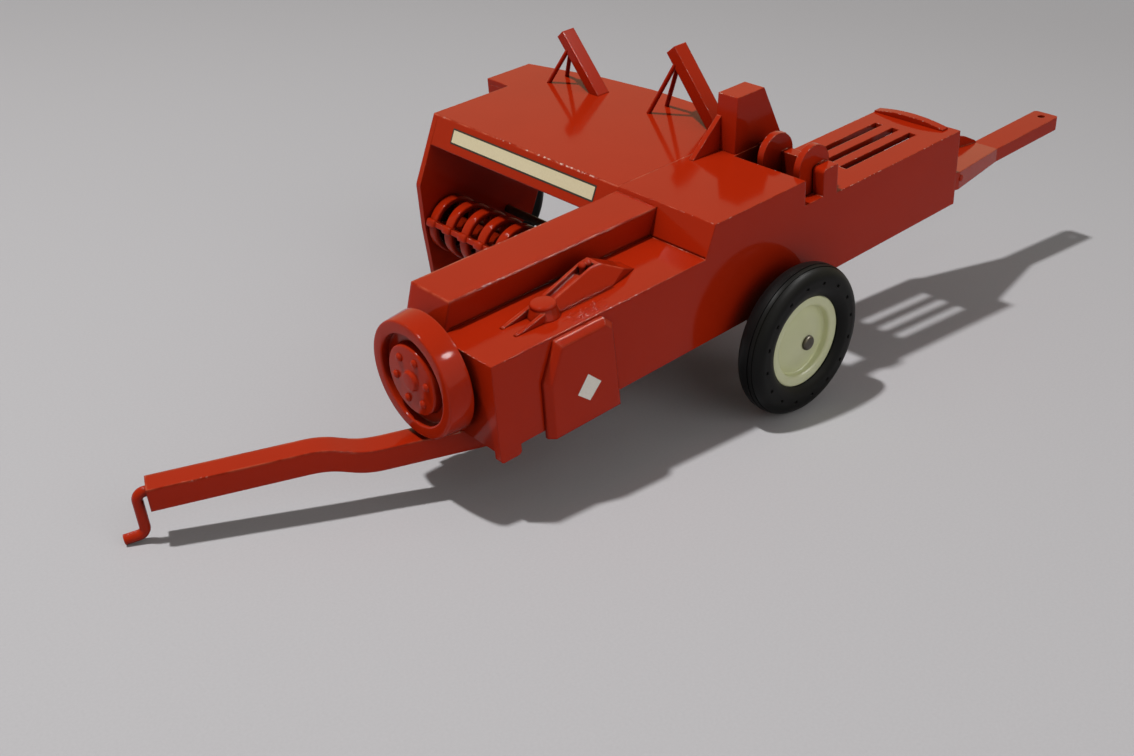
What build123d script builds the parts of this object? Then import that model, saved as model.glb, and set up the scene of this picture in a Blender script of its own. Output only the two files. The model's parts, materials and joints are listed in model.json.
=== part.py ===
"""Toy pickup baler in pressed and cast metal, with a swinging drawbar, a pickup reel and two wheels.

The body's pieces are modelled level, in the bale case's own frame: X forward, Y to the left, Z up, with
the origin on the case's centre line, at the top of its front face.  park() then pitches everything about
the axle, as the toy rests on its two tyres and its hitch hook, and sets the floor at Z = 0.
"""
from build123d import *
import os
from math import atan2, cos, radians, sin, tan

os.makedirs("parts", exist_ok=True)

# ---- fits ----
running_gap = 0.05          # radial, shaft in bore
face_gap = 0.3              # between faces that move past each other

# ---- bale case ----
case_width = 40.0
bale_width = 32.0           # the narrower rear part, flush with the case's left side
case_depth = 26.0
front_drop = 1.2            # how much lower the case's sides reach ahead of the axle lugs
case_length = 201.0
wall = 2.0
front_deck_length = 78.6
step_slope = 4.2
upper_height = 9.6
upper_deck_length = 39.0
notch_length = 8.4
ledge_height = 1.5
ledge_width = 4.2
post_length, post_corner = 6.6, 1.4
post_height = 10.2
rear_height = 0.6
well_width = 24.6
sole_length = 42.0
foot_length, foot_thick, foot_drop, foot_corner = 7.2, 2.4, 3.2, 1.2
slot_count, slot_width, slot_spacing = 3, 2.9, 6.9
slot_front_margin, slot_rear_margin, slot_shift = 15.7, 12.0, 1.2

left = case_width / 2
right = -case_width / 2
bale_right = left - bale_width
bale_mid = left - bale_width / 2
case_bottom = -case_depth
front_bottom = case_bottom - front_drop
upper_front = -(front_deck_length + step_slope)
upper_rear = upper_front - upper_deck_length
post_front = upper_rear - notch_length
rear_front = post_front - post_length
case_rear = -case_length
slot_front, slot_rear = rear_front - slot_front_margin, case_rear + slot_rear_margin
well_left = left - ledge_width
well_right = well_left - well_width

# ---- twine box, side cover and castings on the front deck ----
twine_width, twine_height = 17.2, 8.3
twine_toe, twine_lean = 2.4, 2.8
cover_proud, cover_bevel = 2.7, 1.7
cover_front, cover_length = 15.6, 27.0
cover_top_drop, cover_drop = 0.8, 29.6
cover_facet_run, cover_facet_fall = 5.0, 11.2
cover_corner, cover_rear_lean = 1.6, 1.6
boss_behind, boss_inset = 26.7, 10.5      # from the case's front and from its left side
boss_radius, boss_top_radius, boss_height = 4.7, 3.3, 3.6
arm_inset, arm_width = 8.2, 9.5
arm_left_draft, arm_front_narrowing = 4.1, 3.0
arm_start, arm_peak, arm_end, arm_height = 29.0, 46.0, 61.4, 6.2
arm_start_height, arm_peak_length = 3.0, 3.4
arm_tail_narrowing = 3.2
arm_channel_depth = 1.4
arm_channel_front, arm_channel_rear = (2.6, 5.3), (4.9, 8.5)     # its two walls, in from the arm's left foot
arm_end_wall, arm_pit_length, arm_pit_depth = 1.2, 5.2, 1.2
fin_place = 24.5
fin_thick, fin_length, fin_height, fin_spacing = 1.2, 10.5, 2.6, 5.8
arm_rivet_radius, arm_rivet_height, arm_rivet_spacing, arm_rivet_margin = 0.9, 2.8, 2.1, 1.1

# ---- flywheel ----
fly_axis_y, fly_axis_z = -3.4, -9.6
fly_radius, fly_rim_radius = 18.0, 17.2
fly_gap, fly_width = 2.4, 7.2
fly_recess_radius, fly_recess_depth = 13.5, 2.8
fly_bore_depth = 3.6
fly_disc_radius, fly_disc_rise = 10.2, 2.7
fly_hub_radius, fly_hub_rise = 3.0, 1.0
fly_shaft_radius = 1.5
fly_back_boss_radius = 6.0
stud_count, stud_turn, stud_reach, stud_radius, stud_rise = 6, 7, 7.0, 1.2, 0.9

# ---- header, measured from the upper deck's front edge and the case's right side ----
header_width = 93.2
roof_thick = 2.0
roof_length, roof_length_outer = 63.6, 53.6
roof_bend_in, roof_bend_inset, roof_bend_length = 19.2, 2.7, 24.0
band_drop, band_reach = 9.6, 4.6
band_thick = 1.8
plate_thick, plate_corner = 2.4, 4.0
ext_width, ext_start, ext_depth = 12.3, 33.6, 12.0
plate_nose, plate_nose_z, plate_front_depth = 11.2, -13.4, 16.6
plate_low, plate_low_z = 9.8, -50.4
plate_heel, plate_heel_z = 7.2, -51.6
plate_tail, plate_tail_z = 37.2, -42.0
plate_rear, plate_rear_z = 46.2, -24.0

# ---- pickup reel ----
reel_z = -31.0
reel_tube_radius = 3.2
reel_shaft_radius = 1.5
ring_radius, ring_band, ring_thick, ring_count = 10.4, 2.2, 3.0, 10
ring_outer_gap, ring_inner_gap = 1.0, 3.4
spoke_count, spoke_width = 4, 1.8
tine_count, tine_side, tine_reach = 2, 1.8, 9.9
tine_angle = 20

# ---- feeder posts and their stays ----
post_backs, post_wides, post_deep = (49.6, 51.7), (3.7, 4.6), 5.3
post_feet = (65.0, 10.0)             # foot of each post's right face, out from the case's right side
post_leans = (40.9, 38.8)
post_rises = (17.3, 22.1)
stay_radius, stay_foot_half, stay_top_half, stay_top_ahead = 0.8, 4.3, 0.9, 1.3
stay_feet = (19.4, 25.3)             # out from each post's foot
stay_rises = (12.6, 18.2)

# ---- knotters, tower and tension arch ----
tower_back, tower_side_gap, tower_width = 0.8, 0.6, 8.2
tower_base_length, tower_top_length, tower_rise = 22.0, 12.0, 18.0
tower_front_lean = 1.6
gusset_length, gusset_rise, gusset_thick = 12.0, 11.0, 1.8
disc_radius, disc_thick, disc_ahead = 6.9, 2.4, 5.4
disc_side_gap, disc_spacing, disc_count = 0.6, 14.4, 2
bridge_length, bridge_height = 3.8, 10.3
knotter_depth = 4.0
arch_ahead, arch_length, arch_inset = 1.4, 3.0, 4.0
arch_edge, arch_crown = 0.5, 1.9

# ---- wheels and axle ----
tyre_radius, tyre_width = 24.4, 9.5
tyre_shoulder = 4.2
rim_radius, rim_inset = 14.9, 1.9
rim_flange, rim_dish, rim_web = 3.3, 2.2, 1.8
axle_radius = 1.5
axle_behind, axle_z = 26.2, -35.5
wheel_side_gap = 4.7
plate_wheel_gap = 2.8
hub_radius = 4.2
axle_head_radius, axle_head_thick = 2.4, 0.9
lug_length, lug_thick, lug_skin = 12.0, 3.0, 2.2

# ---- drawbar and hook ----
pivot_behind = 14.4
drawbar_top = -28.5
drawbar_width, drawbar_height = 7.2, 6.8
drawbar_length = 97.2
drawbar_swing = 23.5
drawbar_jog = 4.2
jog_start, jog_end = 34.8, 55.9
pivot_radius = 1.6
pivot_boss_radius = 4.4
rivet_head_radius, rivet_head_thick = 3.0, 1.2
hook_radius = 1.5
hook_inset = 2.4
hook_reach, hook_bend = 2.9, 2.4
hook_toe, hook_heel_lift = 5.9, 1.2

# ---- bale chute ----
chute_pivot_ahead, chute_pivot_z = 5.4, -17.4
chute_nose = 4.0            # how far the chute reaches forward of its pivot
chute_top_rise = 2.2        # of its top face over the pivot
chute_slope = 8.8
chute_depth, chute_floor = 6.5, 2.0
chute_cheek = 1.8
chute_side_gap = 0.4
chute_taper_start, chute_taper_end, chute_length = 11.4, 47.4, 87.9
chute_tongue_width, chute_tongue_depth, chute_tongue_corner = 10.0, 5.0, 1.5
hitch_hole_inset = 4.0
chute_pin_radius, chute_pin_seat = 1.4, 1.2
fence_place, fence_thick = 5.4, 1.2       # to the right of the chute's middle
fence_points = ((47.9, -5.1), (46.7, -3.9), (40.4, -0.5), (32.0, 2.6), (22.0, 3.8), (17.5, 3.0), (14.0, 0.0), (14.0, -3.0))
hitch_hole_radius = 1.4

# ---- parking ----
nose_down = 5.4

pieces = {}


def side(y):
    """Plane of the case's side profiles at Y = y: sketch X is forward, sketch Y is up, extrusion runs to the right."""
    return Plane.XZ.offset(-y)


def level(z):
    """Plane parallel to the decks at Z = z."""
    return Plane.XY.offset(z)


def facing(x):
    """Plane across the case at X = x: sketch X is to the left, sketch Y is up, extrusion runs forward."""
    return Plane.YZ.offset(x)


def floor_height(x):
    """Height of the floor under the level body at x, for the nose-down attitude about the axle."""
    pitch = radians(nose_down)
    return axle_z + ((x - axle_x) * sin(pitch) - tyre_radius) / cos(pitch)


def slope_x(z):
    """X of the step's sloping face at height z."""
    return -front_deck_length - step_slope * z / upper_height


axle_x = upper_front - axle_behind
lug_front = axle_x + lug_length / 2
pivot_x, pivot_y = -pivot_behind, bale_mid
chute_pivot_x = case_rear + chute_pivot_ahead

# ---- bale case ----
with BuildPart() as bale_case:
    with BuildSketch(side(left)) as outline:
        with BuildLine():
            Polyline(
                (0, front_bottom), (0, 0), (-front_deck_length, 0), (upper_front, upper_height),
                (upper_rear, upper_height), (upper_rear, ledge_height), (post_front, ledge_height),
                (post_front, post_height), (rear_front, post_height), (rear_front, case_bottom),
                (lug_front, case_bottom), (lug_front, front_bottom), close=True)
        make_face()
        fillet(outline.vertices().sort_by_distance((post_front, post_height))[0], radius=post_corner)
    extrude(amount=case_width)
    with BuildSketch(side(well_right)):
        with Locations(((upper_rear + rear_front) / 2, upper_height / 2)):
            Rectangle(upper_rear - rear_front, upper_height)
    extrude(amount=well_right - right)
    with BuildSketch(side(well_right)):
        with Locations(((upper_rear + rear_front) / 2, upper_height + wall)):
            Rectangle(upper_rear - rear_front, 2 * wall)
    extrude(amount=well_right - right, mode=Mode.SUBTRACT)
    with BuildSketch(side(left)):
        with Locations(((rear_front + case_rear) / 2, (rear_height + case_bottom) / 2)):
            Rectangle(rear_front - case_rear, rear_height - case_bottom)
    extrude(amount=bale_width)
    with BuildSketch(side(left - wall)):
        with BuildLine():
            Polyline(
                (-wall, front_bottom - wall), (-wall, -wall), (-front_deck_length - wall, -wall),
                (upper_front - wall, upper_height - wall), (upper_rear + wall, upper_height - wall),
                (upper_rear + wall, ledge_height - wall), (rear_front + wall, ledge_height - wall),
                (rear_front + wall, front_bottom - wall), close=True)
        make_face()
    extrude(amount=case_width - 2 * wall, mode=Mode.SUBTRACT)
    with BuildSketch(side(left - wall)):
        with Locations(((rear_front + case_rear) / 2, (rear_height + case_bottom) / 2 - wall)):
            Rectangle(rear_front - case_rear + 4 * wall, rear_height - case_bottom)
    extrude(amount=bale_width - 2 * wall, mode=Mode.SUBTRACT)
    with BuildSketch(level(post_height)):
        with Locations(((upper_rear + rear_front) / 2, (well_left + well_right) / 2)):
            Rectangle(upper_rear - rear_front, well_width)
    extrude(amount=-(post_height + 2 * wall), mode=Mode.SUBTRACT)
    with BuildSketch(level(rear_height)):
        with Locations(((slot_front + slot_rear) / 2, bale_mid - slot_shift)):
            with GridLocations(0, slot_spacing, 1, slot_count):
                Rectangle(slot_front - slot_rear, slot_width)
    extrude(amount=-2 * wall, mode=Mode.SUBTRACT)
    with BuildSketch(level(front_bottom)):
        with Locations((-sole_length / 2, 0)):
            Rectangle(sole_length, case_width)
    extrude(amount=wall)
    for foot_left in (left, right + foot_thick):
        with BuildSketch(side(foot_left)) as foot:
            with Locations((-foot_length / 2, front_bottom - foot_drop / 2)):
                Rectangle(foot_length, foot_drop)
            fillet(foot.vertices().group_by(Axis.Y)[0], radius=foot_corner)
        extrude(amount=foot_thick)
    with BuildSketch(level(front_bottom)):
        with Locations((pivot_x, pivot_y)):
            Circle(pivot_boss_radius)
    extrude(amount=drawbar_top + face_gap - front_bottom)
    with BuildSketch(side(left - wall + chute_pin_seat)):
        with Locations((chute_pivot_x, chute_pivot_z)):
            Circle(chute_pin_radius + running_gap)
    extrude(amount=bale_width - 2 * wall + 2 * chute_pin_seat, mode=Mode.SUBTRACT)
pieces["bale_case"] = bale_case

# ---- castings on the front deck ----
with BuildPart() as twine_box:
    with BuildSketch(side(right + twine_width)):
        with BuildLine():
            Polyline(
                (-twine_toe, 0), (-twine_toe - twine_lean, twine_height),
                (slope_x(twine_height), twine_height), (slope_x(0), 0), close=True)
        make_face()
    extrude(amount=twine_width)
pieces["twine_box"] = twine_box

cover_rear = -cover_front - cover_length
with BuildPart() as side_cover:
    with BuildSketch(side(left)):
        with BuildLine():
            Polyline(
                (-cover_front - cover_facet_run, -cover_top_drop),
                (-cover_front, -cover_top_drop - cover_facet_fall), (-cover_front, -cover_drop),
                (cover_rear + cover_corner, -cover_drop), (cover_rear, -cover_drop + cover_corner),
                (cover_rear + cover_rear_lean, -cover_top_drop - 2 * cover_corner),
                (cover_rear + cover_rear_lean + 2 * cover_corner, -cover_top_drop), close=True)
        make_face()
    extrude(amount=-cover_proud)
    outer_face = side_cover.faces().sort_by(Axis.Y)[-1]
    chamfer(outer_face.edges().filter_by(lambda edge: edge.center().Z > -cover_drop + cover_corner), length=cover_bevel)
pieces["side_cover"] = side_cover

arm_left = left - arm_inset
arm_right = arm_left - arm_width
arm_tail_start = arm_peak + arm_peak_length
arm_pit_rear, arm_pit_floor = arm_end_wall - arm_tail_start, arm_height - arm_channel_depth - arm_pit_depth
boss_place = (-boss_behind, left - boss_inset)
with BuildPart() as arm_channel:
    with BuildSketch(side(arm_left)):
        with BuildLine():
            Polyline(
                (-arm_start, arm_start_height - arm_channel_depth), (-arm_peak, arm_height - arm_channel_depth),
                (arm_pit_rear + arm_pit_length, arm_height - arm_channel_depth),
                (arm_pit_rear + arm_pit_length, arm_pit_floor), (arm_pit_rear, arm_pit_floor),
                (arm_pit_rear, arm_height), (-arm_start, arm_height), close=True)
        make_face()
    extrude(amount=arm_width)
    with BuildSketch(level(0)):
        with BuildLine():
            Polyline(
                (-arm_start, arm_left - arm_channel_front[0]), (arm_pit_rear, arm_left - arm_channel_rear[0]),
                (arm_pit_rear, arm_left - arm_channel_rear[1]), (-arm_start, arm_left - arm_channel_front[1]),
                close=True)
        make_face()
    extrude(amount=arm_height, mode=Mode.INTERSECT)

with BuildPart() as plunger_arm:
    with BuildSketch(side(arm_left)):
        with BuildLine():
            Polyline(
                (-arm_start, 0), (-arm_start, arm_start_height), (-arm_peak, arm_height),
                (-arm_tail_start, arm_height), (-arm_end, 0), close=True)
        make_face()
    extrude(amount=arm_width)
    with BuildSketch(facing(-arm_end)):
        with BuildLine():
            Polyline((arm_left, 0), (arm_left - arm_left_draft, arm_height), (arm_left, arm_height), close=True)
        make_face()
    extrude(amount=arm_end - arm_start, mode=Mode.SUBTRACT)
    with BuildSketch(level(0)):
        with BuildLine():
            Polyline(
                (-arm_tail_start, arm_left), (-arm_end, arm_left), (-arm_end, arm_left - arm_tail_narrowing),
                close=True)
        make_face()
        with BuildLine():
            Polyline(
                (-arm_start, arm_right), (-arm_start, arm_right + arm_front_narrowing), (-arm_tail_start, arm_right),
                close=True)
        make_face()
    extrude(amount=arm_height, mode=Mode.SUBTRACT)
    add(arm_channel.part, mode=Mode.SUBTRACT)
    with BuildSketch(level(0)):
        with Locations(boss_place):
            Circle(boss_radius)
    with BuildSketch(level(boss_height)):
        with Locations(boss_place):
            Circle(boss_top_radius)
    loft()
    for fin_side in (-1, 1):
        with BuildSketch(side(boss_place[1] + (fin_side * fin_spacing + fin_thick) / 2)):
            with BuildLine():
                Polyline(
                    (-fin_place, 0), (-fin_place, fin_height), (-fin_place + fin_length, 0), close=True)
            make_face()
        extrude(amount=fin_thick)
pieces["plunger_arm"] = plunger_arm

with BuildPart() as arm_rivets:
    with BuildSketch(level(arm_pit_floor)):
        with Locations((arm_pit_rear + arm_rivet_margin, arm_left - sum(arm_channel_rear) / 2)):
            with Locations((0, 0), (arm_rivet_spacing, 0)):
                Circle(arm_rivet_radius)
    extrude(amount=arm_rivet_height)
pieces["arm_rivets"] = arm_rivets

# ---- flywheel ----
fly_back, fly_front = fly_gap, fly_gap + fly_width
fly_floor = fly_front - fly_recess_depth
with BuildPart() as flywheel:
    with BuildSketch(level(fly_axis_z)):
        with BuildLine():
            Polyline(
                (fly_back, fly_axis_y), (fly_back, fly_axis_y + fly_radius),
                (fly_front, fly_axis_y + fly_rim_radius), (fly_front, fly_axis_y + fly_recess_radius),
                (fly_floor, fly_axis_y + fly_recess_radius), (fly_floor, fly_axis_y + fly_disc_radius),
                (fly_floor + fly_disc_rise, fly_axis_y + fly_disc_radius),
                (fly_floor + fly_disc_rise, fly_axis_y + fly_hub_radius),
                (fly_floor + fly_disc_rise + fly_hub_rise, fly_axis_y + fly_hub_radius),
                (fly_floor + fly_disc_rise + fly_hub_rise, fly_axis_y), close=True)
        make_face()
    revolve(axis=Axis((0, fly_axis_y, fly_axis_z), (1, 0, 0)))
    with BuildSketch(facing(fly_back)):
        with Locations((fly_axis_y, fly_axis_z)):
            Circle(fly_shaft_radius + running_gap)
    extrude(amount=fly_bore_depth, mode=Mode.SUBTRACT)
pieces["flywheel"] = flywheel

with BuildPart() as flywheel_studs:
    with BuildSketch(facing(fly_floor + fly_disc_rise)):
        with Locations((fly_axis_y, fly_axis_z)):
            with PolarLocations(stud_reach, stud_count, start_angle=stud_turn):
                Circle(stud_radius)
    extrude(amount=stud_rise)
pieces["flywheel_studs"] = flywheel_studs

with BuildPart() as flywheel_shaft:
    with BuildSketch(facing(0)):
        with Locations((fly_axis_y, fly_axis_z)):
            Circle(fly_back_boss_radius)
    extrude(amount=fly_gap - face_gap)
    with BuildSketch(facing(0)):
        with Locations((fly_axis_y, fly_axis_z)):
            Circle(fly_shaft_radius)
    extrude(amount=fly_back + fly_bore_depth - face_gap)
pieces["flywheel_shaft"] = flywheel_shaft

# ---- header ----
header_outer = right - header_width
wing_outer = header_outer - ext_width
plate_inner = header_outer + plate_thick
roof_rear, roof_rear_outer = upper_front - roof_length, upper_front - roof_length_outer
roof_bend_y = header_outer + roof_bend_in
ext_front = upper_front - ext_start
plate_front = upper_front + plate_nose
plate_foot = (
    (plate_front, plate_nose_z), (plate_front, plate_nose_z - plate_front_depth),
    (upper_front + plate_low, plate_low_z), (upper_front - plate_heel, plate_heel_z),
    (upper_front - plate_tail, plate_tail_z), (upper_front - plate_rear, plate_rear_z))
roof_under = upper_height - roof_thick
band_low = upper_height - band_drop
with BuildPart() as header_roof:
    with BuildSketch(level(upper_height)):
        with BuildLine():
            Polyline(
                (upper_front, right), (upper_front, header_outer), (ext_front, header_outer),
                (ext_front, wing_outer), (roof_rear_outer, wing_outer),
                (roof_rear + roof_bend_inset, roof_bend_y), (roof_rear, roof_bend_y + roof_bend_length),
                (roof_rear, well_right), (rear_front, well_right), (rear_front, right), close=True)
        make_face()
    extrude(amount=-roof_thick)
pieces["header_roof"] = header_roof

with BuildPart() as header_band:
    with BuildSketch(side(right)):
        with BuildLine():
            Polyline(
                (upper_front, upper_height), (upper_front + band_reach, band_low),
                (upper_front + band_reach - band_thick, band_low),
                (upper_front, upper_height - band_drop * band_thick / band_reach), close=True)
        make_face()
    extrude(amount=header_width - plate_thick)
pieces["header_band"] = header_band

with BuildPart() as outer_plate:
    with BuildSketch(side(plate_inner)) as plate_outline:
        with BuildLine():
            Polyline(
                (upper_front, roof_under), (upper_front, upper_height), *plate_foot,
                (roof_rear_outer, roof_under), close=True)
        make_face()
        fillet(plate_outline.vertices().sort_by_distance((plate_front, plate_nose_z))[0], radius=plate_corner)
        with Locations((axle_x, axle_z)):
            Circle(axle_radius + running_gap, mode=Mode.SUBTRACT)
    extrude(amount=plate_thick)
pieces["outer_plate"] = outer_plate

with BuildPart() as inner_plate:
    with BuildSketch(side(right)):
        with BuildLine():
            Polyline(*plate_foot, (upper_front - plate_rear, plate_nose_z), close=True)
        make_face()
        with Locations((axle_x, axle_z)):
            Circle(axle_radius + running_gap, mode=Mode.SUBTRACT)
    extrude(amount=plate_thick)
pieces["inner_plate"] = inner_plate

with BuildPart() as header_wing:
    with BuildSketch(level(roof_under)):
        with Locations(((ext_front + roof_rear_outer) / 2, (header_outer + wing_outer) / 2)):
            Rectangle(ext_front - roof_rear_outer, ext_width)
    extrude(amount=roof_thick - ext_depth)
pieces["header_wing"] = header_wing

# ---- pickup reel, under the roof's front edge ----
reel_x = upper_front
reel_left = right - plate_thick
reel_length = reel_left - plate_inner
ring_spacing = (reel_length - ring_outer_gap - ring_inner_gap - ring_thick) / (ring_count - 1)
with BuildPart() as reel_shaft:
    with BuildSketch(side(reel_left)):
        with Locations((reel_x, reel_z)):
            Circle(reel_shaft_radius)
    extrude(amount=reel_length)
pieces["reel_shaft"] = reel_shaft

with BuildPart() as reel_tube:
    with BuildSketch(side(reel_left - face_gap)):
        with Locations((reel_x, reel_z)):
            Circle(reel_tube_radius)
            Circle(reel_shaft_radius + running_gap, mode=Mode.SUBTRACT)
    extrude(amount=reel_length - 2 * face_gap)
pieces["reel_tube"] = reel_tube

with BuildPart() as reel_rings:
    for ring in range(ring_count):
        with BuildSketch(side(plate_inner + ring_outer_gap + ring * ring_spacing + ring_thick)):
            with Locations((reel_x, reel_z)):
                Circle(ring_radius)
                Circle(ring_radius - ring_band, mode=Mode.SUBTRACT)
                with PolarLocations((ring_radius - ring_band + reel_tube_radius) / 2, spoke_count, start_angle=tine_angle):
                    Rectangle(ring_radius - reel_tube_radius, spoke_width)
                Circle(reel_tube_radius, mode=Mode.SUBTRACT)
                with PolarLocations(tine_reach, tine_count, start_angle=tine_angle):
                    Rectangle(tine_side, tine_side, mode=Mode.SUBTRACT)
        extrude(amount=ring_thick)
pieces["reel_rings"] = reel_rings

with BuildPart() as tine_bars:
    with BuildSketch(side(reel_left - ring_inner_gap + face_gap)):
        with Locations((reel_x, reel_z)):
            with PolarLocations(tine_reach, tine_count, start_angle=tine_angle):
                Rectangle(tine_side, tine_side)
    extrude(amount=reel_length - ring_outer_gap - ring_inner_gap + 2 * face_gap)
pieces["tine_bars"] = tine_bars

# ---- feeder posts and stays ----
with BuildPart() as feeder_posts:
    for back, foot_out, lean, rise, wide in zip(post_backs, post_feet, post_leans, post_rises, post_wides):
        foot_y, across, up = right - foot_out, cos(radians(lean)), sin(radians(lean))
        top_y = foot_y - rise * tan(radians(lean))
        with BuildSketch(facing(upper_front - back - post_deep / 2)):
            with BuildLine():
                Polyline(
                    (foot_y, upper_height), (top_y, upper_height + rise),
                    (top_y + wide * across, upper_height + rise + wide * up),
                    (foot_y + wide / across, upper_height), close=True)
            make_face()
        extrude(amount=post_deep)
pieces["feeder_posts"] = feeder_posts

with BuildPart() as post_stays:
    for back, foot_out, lean, stay_out, stay_rise in zip(post_backs, post_feet, post_leans, stay_feet, stay_rises):
        post_x, foot_y = upper_front - back, right - foot_out
        seat_y = foot_y - stay_rise * tan(radians(lean))
        for stay_side in (-1, 1):
            foot = Vector(post_x + stay_side * stay_foot_half, foot_y - stay_out, upper_height)
            top = Vector(post_x + stay_top_ahead + stay_side * stay_top_half, seat_y, upper_height + stay_rise)
            reach = (top - foot).normalized() * stay_radius
            with BuildSketch(Plane(origin=foot - reach, z_dir=top - foot)):
                Circle(stay_radius)
            extrude(amount=(top - foot).length + 2 * stay_radius)
        with BuildSketch(facing(post_x - post_deep / 2)):
            with BuildLine():
                Polyline(
                    (foot_y, upper_height), (foot_y - stay_out, upper_height + stay_out / tan(radians(lean))),
                    (foot_y, upper_height + stay_out / tan(radians(lean))), close=True)
            make_face()
        extrude(amount=post_deep, mode=Mode.SUBTRACT)
    with BuildSketch(level(upper_height)):
        with Locations((upper_front - roof_length / 2, (wing_outer + right) / 2)):
            Rectangle(roof_length, right - wing_outer)
    extrude(amount=-4 * stay_radius, mode=Mode.SUBTRACT)
pieces["post_stays"] = post_stays

# ---- tower, knotters and tension arch ----
tower_front, tower_left = upper_rear - tower_back, well_right - tower_side_gap
with BuildPart() as knotter_tower:
    with BuildSketch(side(tower_left)):
        with BuildLine():
            Polyline(
                (tower_front, upper_height), (tower_front - tower_front_lean, upper_height + tower_rise),
                (tower_front - tower_front_lean - tower_top_length, upper_height + tower_rise),
                (tower_front - tower_base_length, upper_height), close=True)
        make_face()
    extrude(amount=tower_width)
pieces["knotter_tower"] = knotter_tower

with BuildPart() as tower_gusset:
    with BuildSketch(side(tower_left - tower_width + gusset_thick)):
        with BuildLine():
            Polyline(
                (tower_front, upper_height), (tower_front + gusset_length, upper_height),
                (tower_front - tower_front_lean * gusset_rise / tower_rise, upper_height + gusset_rise),
                close=True)
        make_face()
    extrude(amount=gusset_thick)
pieces["tower_gusset"] = tower_gusset

disc_x, disc_z = rear_front + disc_ahead, upper_height
disc_places = [well_left - disc_side_gap - disc_thick / 2 - disc * disc_spacing for disc in range(disc_count)]
with BuildPart() as knotters:
    for disc_y in disc_places:
        with BuildSketch(side(disc_y + disc_thick / 2)):
            with Locations((disc_x, disc_z)):
                Circle(disc_radius)
            with Locations(((disc_x + disc_radius + rear_front) / 2, (disc_z - knotter_depth) / 2)):
                Rectangle(disc_x + disc_radius - rear_front, disc_z + knotter_depth)
        extrude(amount=disc_thick)
    with BuildSketch(side(well_left)):
        with Locations((rear_front + bridge_length / 2, (bridge_height - knotter_depth) / 2)):
            Rectangle(bridge_length, bridge_height + knotter_depth)
    extrude(amount=well_width)
pieces["knotters"] = knotters

with BuildPart() as tension_arch:
    with BuildSketch(facing(case_rear + arch_ahead)):
        with BuildLine():
            Polyline(
                (left - arch_inset, rear_height + arch_edge), (left - arch_inset, rear_height),
                (bale_right, rear_height), (bale_right, rear_height + arch_edge))
            ThreePointArc(
                (bale_right, rear_height + arch_edge),
                ((bale_right + left - arch_inset) / 2, rear_height + arch_crown),
                (left - arch_inset, rear_height + arch_edge))
        make_face()
    extrude(amount=arch_length)
pieces["tension_arch"] = tension_arch

# ---- axle, lugs and wheels ----
left_wheel_y = left + wheel_side_gap + tyre_width / 2
right_wheel_y = header_outer - plate_wheel_gap - tyre_width / 2
rim_half = tyre_width / 2 - rim_inset
axle_left = left_wheel_y + rim_half - rim_dish + face_gap
axle_right = right_wheel_y - rim_half + rim_dish - face_gap
with BuildPart() as axle:
    with BuildSketch(side(axle_left)):
        with Locations((axle_x, axle_z)):
            Circle(axle_radius)
    extrude(amount=axle_left - axle_right)
    for head_left in (axle_left + axle_head_thick, axle_right):
        with BuildSketch(side(head_left)):
            with Locations((axle_x, axle_z)):
                Circle(axle_head_radius)
        extrude(amount=axle_head_thick)
pieces["axle"] = axle

with BuildPart() as axle_lugs:
    for lug_left in (left, right + lug_thick):
        with BuildSketch(side(lug_left)):
            with Locations((axle_x, (case_bottom + axle_z) / 2)):
                Rectangle(lug_length, case_bottom - axle_z)
            with Locations((axle_x, axle_z)):
                Circle(axle_radius + lug_skin)
                Circle(axle_radius, mode=Mode.SUBTRACT)
        extrude(amount=lug_thick)
pieces["axle_lugs"] = axle_lugs

axle_line = Axis((axle_x, 0, axle_z), (0, 1, 0))
rim_mid = (rim_radius + tyre_radius) / 2
for name, wheel_y, outward, inner_gap in (
        ("left", left_wheel_y, 1, wheel_side_gap), ("right", right_wheel_y, -1, plate_wheel_gap)):
    with BuildPart() as tyre:
        with BuildSketch(level(axle_z)) as tyre_section:
            with Locations((axle_x + rim_mid, wheel_y)):
                Rectangle(tyre_radius - rim_radius, tyre_width)
            fillet(tyre_section.vertices().group_by(Axis.X)[-1], radius=tyre_shoulder)
        revolve(axis=axle_line)
    pieces[name + "_tyre"] = tyre

    with BuildPart() as rim:
        hub_inner = wheel_y - outward * (tyre_width / 2 + inner_gap - face_gap)
        rim_outer, rim_inner = wheel_y + outward * rim_half, wheel_y - outward * rim_half
        web_outer = rim_outer - outward * rim_dish
        web_inner = web_outer - outward * rim_web
        with BuildSketch(level(axle_z)):
            with BuildLine():
                Polyline(
                    (axle_x + axle_radius + running_gap, hub_inner), (axle_x + hub_radius, hub_inner),
                    (axle_x + hub_radius, web_inner), (axle_x + rim_radius - rim_flange, web_inner),
                    (axle_x + rim_radius - rim_flange, rim_inner), (axle_x + rim_radius, rim_inner),
                    (axle_x + rim_radius, rim_outer), (axle_x + rim_radius - rim_flange, rim_outer),
                    (axle_x + rim_radius - rim_flange, web_outer), (axle_x + axle_radius + running_gap, web_outer),
                    close=True)
            make_face()
        revolve(axis=axle_line)
    pieces[name + "_rim"] = rim

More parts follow.
